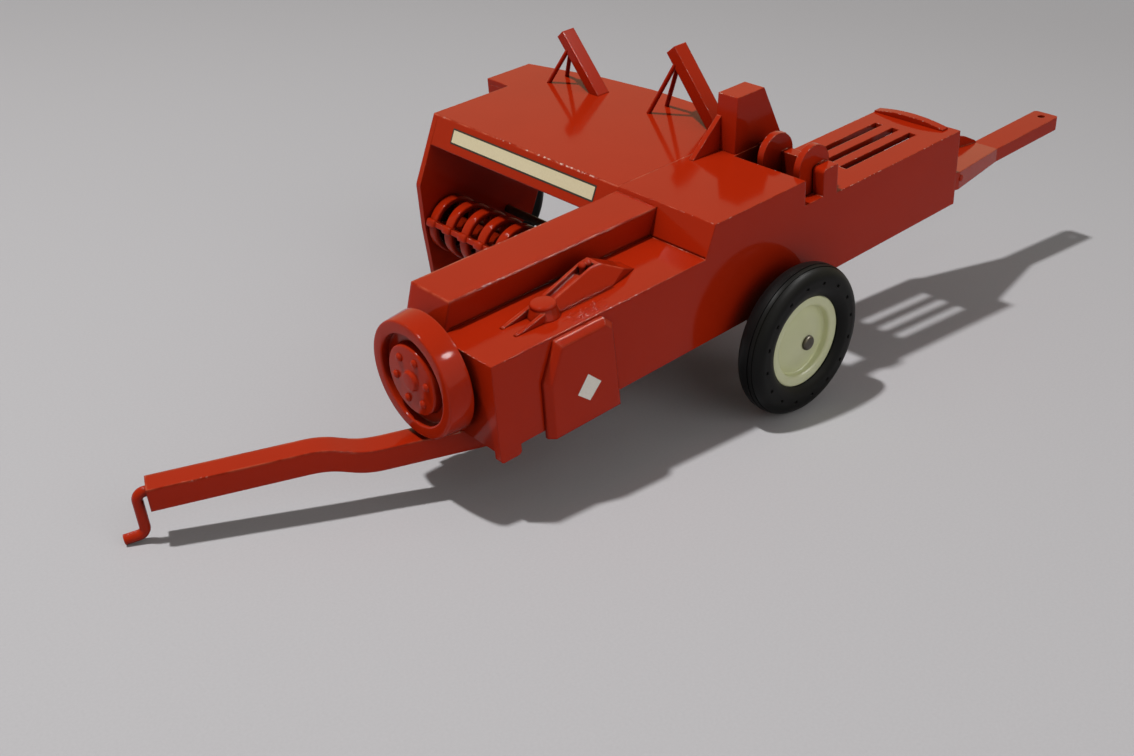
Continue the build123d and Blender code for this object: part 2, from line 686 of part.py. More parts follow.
# ---- drawbar and hook ----
swing = radians(drawbar_swing)
bar_side = Plane(origin=(pivot_x, pivot_y, 0), x_dir=(cos(swing), -sin(swing), 0), z_dir=(-sin(swing), -cos(swing), 0))
bar_low = drawbar_top - drawbar_height
jog_mid = (jog_start + jog_end) / 2
with BuildPart() as drawbar:
    with BuildSketch(bar_side.offset(-drawbar_width / 2)):
        with BuildLine():
            Line((0, bar_low), (0, drawbar_top))
            Line((0, drawbar_top), (jog_start, drawbar_top))
            Bezier(
                (jog_start, drawbar_top), (jog_mid, drawbar_top), (jog_mid, drawbar_top + drawbar_jog),
                (jog_end, drawbar_top + drawbar_jog))
            Line((jog_end, drawbar_top + drawbar_jog), (drawbar_length, drawbar_top + drawbar_jog))
            Line((drawbar_length, drawbar_top + drawbar_jog), (drawbar_length, bar_low + drawbar_jog))
            Line((drawbar_length, bar_low + drawbar_jog), (jog_end, bar_low + drawbar_jog))
            Bezier(
                (jog_end, bar_low + drawbar_jog), (jog_mid, bar_low + drawbar_jog), (jog_mid, bar_low),
                (jog_start, bar_low))
            Line((jog_start, bar_low), (0, bar_low))
        make_face()
    extrude(amount=drawbar_width)
    with BuildSketch(level(drawbar_top)):
        with Locations((pivot_x, pivot_y)):
            Circle(drawbar_width / 2)
    extrude(amount=-drawbar_height)
    with BuildSketch(level(drawbar_top)):
        with Locations((pivot_x, pivot_y)):
            Circle(pivot_radius + running_gap)
    extrude(amount=-drawbar_height, mode=Mode.SUBTRACT)
pieces["drawbar"] = drawbar

with BuildPart() as drawbar_rivet:
    with BuildSketch(level(drawbar_top + face_gap)):
        with Locations((pivot_x, pivot_y)):
            Circle(pivot_radius)
    extrude(amount=-(drawbar_height + 2 * face_gap))
    with BuildSketch(level(bar_low - face_gap)):
        with Locations((pivot_x, pivot_y)):
            Circle(rivet_head_radius)
    extrude(amount=-rivet_head_thick)
pieces["drawbar_rivet"] = drawbar_rivet


def floor_at(reach):
    """Height of the floor under the drawbar, at reach along it from its pivot."""
    return floor_height(pivot_x + reach * cos(swing))


hook_top = drawbar_top + drawbar_jog - hook_inset
hook_drop = drawbar_length + hook_reach
toe_reach = hook_drop + hook_toe
toe_fall = atan2(hook_heel_lift, hook_toe)
toe_lift = hook_radius * cos(toe_fall) / cos(radians(nose_down))
with BuildPart() as hitch_hook:
    with BuildLine(bar_side) as hook_path:
        FilletPolyline(
            (drawbar_length, hook_top), (hook_drop, hook_top),
            (hook_drop, floor_at(hook_drop) + toe_lift + hook_heel_lift),
            (toe_reach, floor_at(toe_reach) + toe_lift), radius=hook_bend)
    with BuildSketch(Plane(origin=hook_path.line @ 0, z_dir=hook_path.line % 0)):
        Circle(hook_radius)
    sweep()
pieces["hitch_hook"] = hitch_hook

# ---- bale chute ----
slope = radians(chute_slope)
chute_width = bale_width - 2 * wall - 2 * chute_side_gap
taper_start_x, taper_end_x = chute_pivot_x - chute_taper_start, chute_pivot_x - chute_taper_end
nose_x, tip_x = chute_pivot_x + chute_nose, chute_pivot_x - chute_length
tongue_half = chute_tongue_width / 2
hole_x = tip_x + hitch_hole_inset


def chute_top(x):
    """Height of the chute's top face at x: it falls to the rear, and its tongue lies level."""
    return chute_pivot_z + chute_top_rise + (max(x, taper_end_x) - chute_pivot_x) * tan(slope)


tongue_top = chute_top(tip_x)
with BuildPart() as bale_chute:
    with BuildSketch(side(bale_mid + chute_width / 2)):
        with BuildLine():
            Polyline(
                (nose_x, chute_top(nose_x)), (taper_end_x, tongue_top), (tip_x, tongue_top),
                (tip_x, tongue_top - chute_tongue_depth), (taper_end_x, tongue_top - chute_tongue_depth),
                (taper_start_x, chute_top(taper_start_x) - chute_depth), (nose_x, chute_top(nose_x) - chute_depth),
                close=True)
        make_face()
    extrude(amount=chute_width)
    with BuildSketch(level(chute_top(nose_x))) as chute_plan:
        with BuildLine():
            Polyline(
                (nose_x, bale_mid + chute_width / 2), (taper_start_x, bale_mid + chute_width / 2),
                (taper_end_x, bale_mid + tongue_half), (tip_x, bale_mid + tongue_half),
                (tip_x, bale_mid - tongue_half), (taper_end_x, bale_mid - tongue_half),
                (taper_start_x, bale_mid - chute_width / 2), (nose_x, bale_mid - chute_width / 2), close=True)
        make_face()
        fillet(chute_plan.vertices().group_by(Axis.X)[0], radius=chute_tongue_corner)
    extrude(amount=-chute_length, mode=Mode.INTERSECT)
    with BuildSketch(Plane(
            origin=(chute_pivot_x, bale_mid, chute_top(chute_pivot_x) - chute_floor),
            x_dir=(-cos(slope), 0, -sin(slope)), z_dir=(-sin(slope), 0, cos(slope)))):
        with BuildLine():
            Polyline(
                (-2 * chute_nose, chute_cheek - chute_width / 2), (chute_taper_start, chute_cheek - chute_width / 2),
                (chute_taper_end, chute_cheek - tongue_half), (chute_taper_end, tongue_half - chute_cheek),
                (chute_taper_start, chute_width / 2 - chute_cheek), (-2 * chute_nose, chute_width / 2 - chute_cheek),
                close=True)
        make_face()
    extrude(amount=-2 * chute_depth, mode=Mode.SUBTRACT)
    with BuildSketch(side(bale_mid - fence_place + fence_thick)):
        with BuildLine():
            Polyline(*[(chute_pivot_x - run, chute_pivot_z + rise) for run, rise in fence_points], close=True)
        make_face()
    extrude(amount=fence_thick)
    with BuildSketch(level(tongue_top)):
        with Locations((hole_x, bale_mid)):
            Circle(hitch_hole_radius)
    extrude(amount=-chute_tongue_depth, mode=Mode.SUBTRACT)
    with BuildSketch(side(left)):
        with Locations((chute_pivot_x, chute_pivot_z)):
            Circle(chute_pin_radius + running_gap)
    extrude(amount=bale_width, mode=Mode.SUBTRACT)
pieces["bale_chute"] = bale_chute

with BuildPart() as chute_pins:
    pin_reach = chute_pin_seat + chute_side_gap + chute_cheek
    for pin_left in (left - wall + chute_pin_seat, bale_right + wall - chute_pin_seat + pin_reach):
        with BuildSketch(side(pin_left)):
            with Locations((chute_pivot_x, chute_pivot_z)):
                Circle(chute_pin_radius)
        extrude(amount=pin_reach)
pieces["chute_pins"] = chute_pins

# ---- parking: pitched about the axle, on the floor, with the box's middle at the origin ----
pitched = Location((0, 0, 0), (0, nose_down, 0))
for piece in pieces.values():
    piece.part.move(pitched)
box = Compound([piece.part for piece in pieces.values()]).bounding_box(optimal=True)
pitch = radians(nose_down)
floor = axle_z * cos(pitch) - axle_x * sin(pitch) - tyre_radius
park = Location((-(box.min.X + box.max.X) / 2, -(box.min.Y + box.max.Y) / 2, -floor))
for name, piece in pieces.items():
    piece.part.move(park)
    piece.part.label = name
    export_step(piece.part, f"parts/{name}.step")
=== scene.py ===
import json
import logging
from dataclasses import dataclass, replace
from enum import Enum
from math import atan2, cos, hypot, pi, radians, sin
from typing import Callable, Mapping, Sequence

import bmesh
import bpy
from mathutils import Matrix, Vector, noise


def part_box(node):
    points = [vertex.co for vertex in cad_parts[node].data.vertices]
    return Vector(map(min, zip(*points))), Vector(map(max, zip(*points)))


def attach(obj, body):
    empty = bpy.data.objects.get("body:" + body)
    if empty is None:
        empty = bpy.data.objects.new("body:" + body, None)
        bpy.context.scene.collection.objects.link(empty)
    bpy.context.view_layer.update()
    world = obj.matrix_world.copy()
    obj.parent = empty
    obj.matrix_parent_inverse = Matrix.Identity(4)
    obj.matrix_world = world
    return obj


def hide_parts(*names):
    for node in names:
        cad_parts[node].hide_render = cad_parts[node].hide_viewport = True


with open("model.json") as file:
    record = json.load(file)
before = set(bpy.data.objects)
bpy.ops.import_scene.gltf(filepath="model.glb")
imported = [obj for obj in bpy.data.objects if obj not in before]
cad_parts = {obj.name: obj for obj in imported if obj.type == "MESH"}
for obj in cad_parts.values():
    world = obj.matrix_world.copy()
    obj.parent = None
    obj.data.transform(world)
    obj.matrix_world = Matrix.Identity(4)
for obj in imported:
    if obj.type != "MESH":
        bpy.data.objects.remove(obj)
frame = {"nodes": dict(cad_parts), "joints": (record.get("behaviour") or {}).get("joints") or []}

# Lengths are level millimetres of the bale case, and angles are degrees, unless a name says otherwise.
log = logging.getLogger("baler")
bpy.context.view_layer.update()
Point = tuple[float, float, float]
Colour = tuple[float, float, float, float]
Node = bpy.types.Node

UP = Vector((0.0, 0.0, 1.0))
RING_STEPS = 96  # facets round a turned shape
ROUND_STEPS = 5  # facets across a rounded edge
BALL_STEPS = (24, 16)  # facets round a ball and from pole to pole
MERGE_MM = 1e-4  # corners nearer than this become one
SAME_PLACE_MM = 0.01  # places nearer than this count as the same
ON_FACE_MM = 0.1  # how far a facet's middle may sink under the face that it belongs to


# ---- frames, meshes and nodes ----
@dataclass(frozen=True)
class LevelBody:
    """The bale case's own level frame, in millimetres, as it sits in the parked toy.

    X runs forward from the case's front face, Y to the left of its centre line and Z up from the front deck.
    """

    pivot: Point = (-14.4, 4.0, -31.9)

    def matrix(self) -> Matrix:
        """Finds the frame from the drawbar's pivot, whose axis stands square to the case.

        Returns:
            The transform from level millimetres to the parked toy's metres.
        """
        swing = next(joint for joint in frame["joints"] if joint["name"] == "drawbar_swing")
        axis, place = Vector(swing["axis"]), Vector(swing["pos_m"])
        stand = Matrix.Translation(place) @ Matrix.Rotation(atan2(axis.x, axis.z), 4, "Y")
        return stand @ Matrix.Scale(0.001, 4) @ Matrix.Translation(-Vector(self.pivot))


BODY = LevelBody().matrix()
TO_LEVEL = BODY.inverted()


def level_box(node: str) -> tuple[Vector, Vector]:
    """The two corners of a CAD node's box, in level millimetres."""
    low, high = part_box(node)
    return TO_LEVEL @ Vector(low), TO_LEVEL @ Vector(high)


def make_piece(
    name: str, shape: bmesh.types.BMesh, finishes: Sequence[bpy.types.Material], body: str,
    replaces: Sequence[str] = (), crease: float = 32.0,
) -> bpy.types.Object:
    """Turns a shape in level millimetres into a finished piece of the toy.

    Args:
        name: Name of the piece.
        shape: The mesh, which is freed.
        finishes: Its materials, in the order of the faces' material numbers.
        body: The moving body that carries it.
        replaces: CAD nodes that it stands for.
        crease: Angle in degrees above which an edge stays sharp.

    Returns:
        The new object, at the origin, with its place in its mesh.
    """
    bmesh.ops.transform(shape, matrix=BODY, verts=shape.verts)
    for face in shape.faces:
        face.smooth = True
    for edge in shape.edges:
        edge.smooth = len(edge.link_faces) == 2 and edge.calc_face_angle(0.0) < radians(crease)
    mesh = bpy.data.meshes.new(name)
    shape.to_mesh(mesh)
    shape.free()
    for finish in finishes:
        mesh.materials.append(finish)
    piece = bpy.data.objects.new(name, mesh)
    bpy.context.scene.collection.objects.link(piece)
    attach(piece, body)
    if replaces:
        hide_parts(*replaces)
    log.info("%s: %d faces on %s", name, len(mesh.polygons), body)
    return piece


def round_edges(
    shape: bmesh.types.BMesh, pick: Callable[[bmesh.types.BMEdge], bool], radius: float,
    steps: int = ROUND_STEPS,
) -> None:
    """Rounds some edges of a shape.

    Args:
        shape: The shape.
        pick: Which edges are rounded.
        radius: The rounding's radius, in millimetres.
        steps: How many facets lie across the rounding.
    """
    edges = [edge for edge in shape.edges if pick(edge)]
    bmesh.ops.bevel(
        shape, geom=edges, offset=radius, offset_type="OFFSET", segments=steps, profile=0.5, affect="EDGES",
        clamp_overlap=True, material=-1)


def add_ball(
    shape: bmesh.types.BMesh, place: Sequence[float], radius: float, rise: float | None = None,
) -> None:
    """Adds a ball to a shape.

    Args:
        shape: The shape.
        place: The ball's centre, in level millimetres.
        radius: The ball's radius, in millimetres.
        rise: The radius that it is flattened to along X, where it is flattened.
    """
    squash = Matrix.Scale((rise or radius) / radius, 4, (1, 0, 0))
    bmesh.ops.create_uvsphere(
        shape, u_segments=BALL_STEPS[0], v_segments=BALL_STEPS[1], radius=radius,
        matrix=Matrix.Translation(place) @ squash)


class Axle(Enum):
    """Which way an axle lies: its direction, and the direction in which a section's radius is drawn."""

    ACROSS = ((0.0, 1.0, 0.0), (1.0, 0.0, 0.0))
    FORWARD = ((1.0, 0.0, 0.0), (0.0, 0.0, 1.0))


class Turning:
    """A closed section turned once round an axle, whose edges lie on rings."""

    def __init__(
        self, section: Sequence[tuple[float, float]], centre: Sequence[float], axle: Axle = Axle.ACROSS,
        steps: int = RING_STEPS,
    ) -> None:
        """Turns the section.

        Args:
            section: The section's corners as (radius, place along the axle).
            centre: A point of the axle.
            axle: Which way the axle lies.
            steps: Facets round the axle.
        """
        self.centre = Vector(centre)
        self.along, radius_dir = (Vector(way) for way in axle.value)
        self.shape = bmesh.new()
        corners = [
            self.shape.verts.new(self.centre + radius * radius_dir + place * self.along)
            for radius, place in section]
        edges = [self.shape.edges.new(pair) for pair in zip(corners, corners[1:] + corners[:1])]
        bmesh.ops.spin(
            self.shape, geom=corners + edges, cent=self.centre, axis=self.along, angle=2 * pi, steps=steps,
            use_merge=True)
        bmesh.ops.remove_doubles(self.shape, verts=self.shape.verts, dist=MERGE_MM)
        bmesh.ops.recalc_face_normals(self.shape, faces=self.shape.faces)

    def on_ring(self, edge: bmesh.types.BMEdge, radius: float, place: float) -> bool:
        """Says whether both ends of an edge lie on one ring.

        Args:
            edge: The edge.
            radius: The ring's radius.
            place: The ring's place along the axle.

        Returns:
            Whether they do.
        """
        for vert in edge.verts:
            out = vert.co - self.centre
            depth = out.dot(self.along)
            reach = (out - depth * self.along).length
            if abs(depth - place) > SAME_PLACE_MM or abs(reach - radius) > SAME_PLACE_MM:
                return False
        return True

    def round_ring(self, radius: float, place: float, rounding: float, steps: int = ROUND_STEPS) -> None:
        """Rounds the edges of the ring that has that radius and that place along the axle."""
        round_edges(self.shape, lambda edge: self.on_ring(edge, radius, place), rounding, steps)


def linear(code: str) -> Colour:
    """Turns an sRGB hex colour into the linear colour that a shader takes."""
    parts = [int(code[start:start + 2], 16) / 255 for start in (1, 3, 5)]
    return (*(part / 12.92 if part <= 0.04045 else ((part + 0.055) / 1.055) ** 2.4 for part in parts), 1.0)


def add_node(
    tree: bpy.types.NodeTree, kind: str, inputs: Mapping[str | int, object] | None = None, **settings: object,
) -> Node:
    """Adds a shader node.

    Args:
        tree: The nodes to add it to.
        kind: The node's type name.
        inputs: By input name or number: a value, an output to link, or a node, for its first open output.
        **settings: The node's own properties.

    Returns:
        The node.
    """
    node = tree.nodes.new(kind)
    for key, value in settings.items():
        setattr(node, key, value)
    for key, value in (inputs or {}).items():
        if isinstance(value, Node):
            value = next(output for output in value.outputs if output.enabled)
        if isinstance(value, bpy.types.NodeSocket):
            tree.links.new(value, node.inputs[key])
        else:
            node.inputs[key].default_value = value
    return node


# ---- finishes ----
@dataclass(frozen=True)
class Grain:
    """The size of a noise's features in millimetres, and the number of finer layers in it."""

    size_mm: float
    detail: float

    @property
    def inputs(self) -> dict[str, float]:
        """The noise's inputs for Object coordinates, which are in metres."""
        return {"Scale": 1000.0 / self.size_mm, "Detail": self.detail}


@dataclass(frozen=True)
class Ramp:
    """Spreads the values from start to end over low to high, and holds them there beyond the ends."""

    start: float
    end: float
    low: float = 0.0
    high: float = 1.0

    @property
    def inputs(self) -> dict[str, float]:
        """The ramp's ends by the names of their inputs."""
        return {"From Min": self.start, "From Max": self.end, "To Min": self.low, "To Max": self.high}


@dataclass(frozen=True)
class Relief:
    """A fine unevenness: its grain, how strongly it turns the light, and its height in millimetres."""

    grain: Grain
    strength: float
    height_mm: float


class Shading:
    """A material in the making, with the patterns that the finishes share."""

    def __init__(self, name: str) -> None:
        """Starts an empty material whose patterns lie in Object coordinates.

        Args:
            name: Name of the material.
        """
        self.material = bpy.data.materials.new(name)
        self.material.use_nodes = True
        self.tree = self.material.node_tree
        self.tree.nodes.clear()
        self.place = add_node(self.tree, "ShaderNodeTexCoord").outputs["Object"]

    def clouds(self, grain: Grain, first: str, second: str) -> Node:
        """Lets one colour run into another in clouds.

        Args:
            grain: The clouds' grain.
            first: The first colour, as sRGB hex.
            second: The second colour, as sRGB hex.

        Returns:
            The colour.
        """
        cloud = add_node(self.tree, "ShaderNodeTexNoise", {"Vector": self.place, **grain.inputs})
        colours = {"Factor": cloud, "A": linear(first), "B": linear(second)}
        return add_node(self.tree, "ShaderNodeMix", colours, data_type="RGBA")

    def patches(self, grain: Grain, ramp: Ramp) -> Node:
        """Spreads a noise of that grain over a ramp, which gives soft-edged patches."""
        cloud = add_node(self.tree, "ShaderNodeTexNoise", {"Vector": self.place, **grain.inputs})
        return add_node(self.tree, "ShaderNodeMapRange", {"Value": cloud, **ramp.inputs})

    def uneven(self, relief: Relief, **inputs: Node) -> Node:
        """Tilts the surface's normal by a fine unevenness.

        Args:
            relief: The unevenness.
            **inputs: What else the bump starts from.

        Returns:
            The normal.
        """
        height = add_node(self.tree, "ShaderNodeTexNoise", {"Vector": self.place, **relief.grain.inputs})
        strength = {"Strength": relief.strength, "Distance": relief.height_mm / 1000}
        return add_node(self.tree, "ShaderNodeBump", {"Height": height, **strength, **inputs})

    def finished(self, inputs: Mapping[str, object]) -> bpy.types.Material:
        """Ends the material in the usual shader.

        Args:
            inputs: The shader's inputs.

        Returns:
            The material.
        """
        shader = add_node(self.tree, "ShaderNodeBsdfPrincipled", inputs)
        add_node(self.tree, "ShaderNodeOutputMaterial", {"Surface": shader})
        return self.material


@dataclass(frozen=True)
class GlossEnamel:
    """Sprayed and baked gloss enamel on pressed steel and die-cast zinc: deep red with a slight orange peel.

    The film is softened over each edge. It carries a painted highlight, as a paler thinned film, on the upper
    edges, and painted shade in hollows and corners. It is rubbed pale on the upper edges, where the pale
    chips are wear and also serve as painted glints.
    """

    name: str = "sprayed_red_gloss_enamel"
    film: str = "#B2280B"
    film_deep: str = "#A92408"
    # painted shade: the dark film colour that ambient occlusion mixes into hollows and corners
    film_painted_shade: str = "#340902"
    # painted highlight: a paler film colour along the upper edges, given as thinned film
    highlight_film: str = "#D8674A"
    # rubbed chips: pale wear on the upper edges that also serves as painted glints
    rubbed: str = "#EFCDBB"
    clouds: Grain = Grain(22.0, 3.0)
    peel: Relief = Relief(Grain(0.9, 2.0), 0.25, 0.02)
    painted_shade_reach_mm: float = 60.0
    painted_shade_ramp: Ramp = Ramp(0.02, 0.58)  # share of open space, from the painted shade to the full film
    film_edge_mm: float = 0.5
    edge_turn: Ramp = Ramp(0.985, 0.90)  # cosine between the softened normal and the face's own
    upward: Ramp = Ramp(0.25, 0.55)  # height of the softened normal
    highlight_runs: Grain = Grain(6.0, 3.0)
    highlight_ramp: Ramp = Ramp(0.42, 0.62, high=0.75)
    chips: Grain = Grain(1.6, 4.0)
    chipped: Ramp = Ramp(0.54, 0.62)
    knocks: Grain = Grain(28.0, 1.0)
    knocked: Ramp = Ramp(0.50, 0.60)
    wear: float = 1.0
    rays: int = 6  # of the softened normal and of the search for open space that sets the painted shade
    roughness: float = 0.11
    specular: float = 0.10
    coat: float = 0.04
    coat_roughness: float = 0.03

    # the upward edges carry the painted highlight and the rubbed chips
    def upper_edges(self, tree: bpy.types.NodeTree, over_edge: Node) -> Node:
        """Finds the edges that look upwards, where the softened normal turns away from the face's own.

        Args:
            tree: The material's nodes.
            over_edge: The normal that is softened over each edge.

        Returns:
            One on such an edge and nought elsewhere.
        """
        face = add_node(tree, "ShaderNodeNewGeometry").outputs["Normal"]
        flat = add_node(tree, "ShaderNodeVectorMath", {0: over_edge, 1: face}, operation="DOT_PRODUCT")
        any_edge = add_node(tree, "ShaderNodeMapRange", {"Value": flat, **self.edge_turn.inputs})
        tilt = add_node(tree, "ShaderNodeSeparateXYZ", {0: over_edge}).outputs["Z"]
        upper = add_node(tree, "ShaderNodeMapRange", {"Value": tilt, **self.upward.inputs})
        return add_node(tree, "ShaderNodeMath", {0: any_edge, 1: upper}, operation="MULTIPLY")

    def colour(self, shading: Shading, over_edge: Node) -> Node:
        """Colours the film with painted shade in its hollows, and over it a painted highlight and the rubbed
        chips on the upper edges.

        Args:
            shading: The material in the making.
            over_edge: The normal that is softened over each edge.

        Returns:
            The colour.
        """
        tree = shading.tree
        # painted shade: the film turns dark where little open space surrounds a point
        around = add_node(
            tree, "ShaderNodeAmbientOcclusion", {"Distance": self.painted_shade_reach_mm / 1000}, samples=self.rays,
            only_local=False)
        sprayed = add_node(
            tree, "ShaderNodeMapRange", {"Value": around.outputs["AO"], **self.painted_shade_ramp.inputs})
        clouds = shading.clouds(self.clouds, self.film_deep, self.film)
        colour = add_node(
            tree, "ShaderNodeMix", {"Factor": sprayed, "A": linear(self.film_painted_shade), "B": clouds},
            data_type="RGBA")
        edge = self.upper_edges(tree, over_edge)
        # painted highlight: patches of paler film along the upper edges
        thin = shading.patches(self.highlight_runs, self.highlight_ramp)
        # rubbed chips on the upper edges: wear that also serves as painted glints
        chipped = shading.patches(self.chips, self.chipped)
        knocked = shading.patches(self.knocks, replace(self.knocked, high=self.wear))
        worn = add_node(tree, "ShaderNodeMath", {0: chipped, 1: knocked}, operation="MULTIPLY")
        for pattern, shade in ((thin, self.highlight_film), (worn, self.rubbed)):
            share = add_node(tree, "ShaderNodeMath", {0: edge, 1: pattern}, operation="MULTIPLY")
            colours = {"Factor": share, "A": colour, "B": linear(shade)}
            colour = add_node(tree, "ShaderNodeMix", colours, data_type="RGBA")
        return colour

    def build(self) -> bpy.types.Material:
        """Makes the enamel's material.

        Returns:
            The material.
        """
        shading = Shading(self.name)
        over_edge = add_node(
            shading.tree, "ShaderNodeBevel", {"Radius": self.film_edge_mm / 1000}, samples=self.rays)
        return shading.finished({
            "Base Color": self.colour(shading, over_edge),
            "Normal": shading.uneven(self.peel, Normal=over_edge),
            "Roughness": self.roughness,
            "Specular IOR Level": self.specular,
            "Coat Weight": self.coat,
            "Coat Roughness": self.coat_roughness,
            "Coat Normal": over_edge})


@dataclass(frozen=True)
class MouldedRubber:
    """Black rubber from a satin steel mould: even and dull, with a faint grey bloom and a fine pebble."""

    name: str = "moulded_black_rubber"
    black: str = "#0E0E0F"
    bloom: str = "#191919"
    clouds: Grain = Grain(9.0, 4.0)
    pebble: Relief = Relief(Grain(0.5, 2.0), 0.3, 0.03)
    roughness: float = 0.42
    specular: float = 0.09

    def build(self) -> bpy.types.Material:
        """Makes the tyre's material.

        Returns:
            The material.
        """
        shading = Shading(self.name)
        return shading.finished({
            "Base Color": shading.clouds(self.clouds, self.black, self.bloom),
            "Normal": shading.uneven(self.pebble),
            "Roughness": self.roughness,
            "Specular IOR Level": self.specular})


@dataclass(frozen=True)
class MouldedPlastic:
    """Cream polythene from an injection mould: a little green, waxy and soft in sheen, with faint clouds."""

    name: str = "moulded_cream_polythene"
    cream: str = "#DADCB4"
    shade: str = "#CDD0A4"
    clouds: Grain = Grain(7.0, 3.0)
    skin: Relief = Relief(Grain(0.6, 2.0), 0.15, 0.02)
    roughness: float = 0.42
    glow: float = 0.12
    glow_depths_m: Point = (0.0012, 0.0011, 0.0006)

    def build(self) -> bpy.types.Material:
        """Makes the wheel discs' material.

        Returns:
            The material.
        """
        shading = Shading(self.name)
        return shading.finished({
            "Base Color": shading.clouds(self.clouds, self.shade, self.cream),
            "Normal": shading.uneven(self.skin),
            "Roughness": self.roughness,
            "Subsurface Weight": self.glow,
            "Subsurface Radius": self.glow_depths_m})


@dataclass(frozen=True)
class DrawnSteel:
    """Cold-drawn steel wire, cut and headed: dull grey, with spots of tarnish rougher than the bare metal."""

    name: str = "headed_drawn_steel"
    bright: str = "#66635C"
    tarnish: str = "#3F3A34"
    spots: Grain = Grain(1.4, 4.0)
    roughness: Ramp = Ramp(0.3, 0.7, 0.5, 0.32)

    def build(self) -> bpy.types.Material:
        """Makes the axle's material.

        Returns:
            The material.
        """
        shading = Shading(self.name)
        return shading.finished({
            "Base Color": shading.clouds(self.spots, self.tarnish, self.bright),
            "Metallic": 1.0,
            "Roughness": shading.patches(self.spots, self.roughness)})


@dataclass(frozen=True)
class PrintedPaper:
    """Varnished label paper: even ink under a thin varnish, with the paper's fibre just showing."""

    name: str
    ink: str
    ink_shade: str
    fibre: Grain = Grain(0.7, 5.0)
    roughness: float = 0.45

    def build(self) -> bpy.types.Material:
        """Makes one ink of the labels.

        Returns:
            The material.
        """
        shading = Shading(self.name)
        colour = shading.clouds(self.fibre, self.ink_shade, self.ink)
        return shading.finished({"Base Color": colour, "Roughness": self.roughness})


@dataclass(frozen=True)
class PaleCloth:
    """The off-white woven cloth that the toy stands on, which fades into the pale backdrop far from it."""

    name: str = "woven_off_white_cloth"
    white: str = "#C6C4C6"
    thread: str = "#BEBCBE"
    far: str = "#B2B2B5"
    weave: Grain = Grain(0.8, 2.0)
    fade_m: Ramp = Ramp(0.45, 1.15)
    roughness: float = 0.9
    specular: float = 0.2

    def build(self) -> bpy.types.Material:
        """Makes the floor's material.

        Returns:
            The material.
        """
        shading = Shading(self.name)
        tree = shading.tree
        cloth = add_node(tree, "ShaderNodeBsdfPrincipled", {
            "Base Color": shading.clouds(self.weave, self.thread, self.white),
            "Roughness": self.roughness,
            "Specular IOR Level": self.specular})
        reach = add_node(tree, "ShaderNodeVectorMath", {0: shading.place}, operation="LENGTH")
        fade = add_node(
            tree, "ShaderNodeMapRange", {"Value": reach, **self.fade_m.inputs},
            interpolation_type="SMOOTHSTEP")
        seen = add_node(tree, "ShaderNodeLightPath").outputs["Is Camera Ray"]
        far = add_node(tree, "ShaderNodeMath", {0: fade, 1: seen}, operation="MULTIPLY")
        backdrop = add_node(tree, "ShaderNodeEmission", {"Color": linear(self.far), "Strength": 1.0})
        mixed = add_node(tree, "ShaderNodeMixShader", {0: far, 1: cloth, 2: backdrop})
        add_node(tree, "ShaderNodeOutputMaterial", {"Surface": mixed})
        return shading.material


@dataclass(frozen=True)
class Finishes:
    """The toy's finishes, each made once."""

    enamel: bpy.types.Material
    fresh_enamel: bpy.types.Material
    cast_enamel: bpy.types.Material
    rubber: bpy.types.Material
    plastic: bpy.types.Material
    steel: bpy.types.Material
    label: bpy.types.Material
    label_line: bpy.types.Material
    white_label: bpy.types.Material

    @classmethod
    def mixed(cls) -> "Finishes":
        """Makes every finish.

        Returns:
            The finishes.
        """
        return cls(
            enamel=GlossEnamel().build(),
            fresh_enamel=GlossEnamel("sprayed_red_gloss_enamel_unrubbed", film_edge_mm=0.8, wear=0.0).build(),
            cast_enamel=GlossEnamel("sprayed_red_gloss_enamel_on_castings", film_edge_mm=1.3).build(),
            rubber=MouldedRubber().build(),
            plastic=MouldedPlastic().build(),
            steel=DrawnSteel().build(),
            label=PrintedPaper("varnished_cream_paper", "#E9DCB8", "#DBCDA6").build(),
            label_line=PrintedPaper("printed_dark_ink", "#2A211C", "#1C1512").build(),
            white_label=PrintedPaper("varnished_white_paper", "#F4EFE6", "#E6DFD2").build())


# ---- sub-assemblies ----
class Side(Enum):
    """Which side of the toy a wheel stands on, as the sign of its outward Y."""

    LEFT = 1
    RIGHT = -1


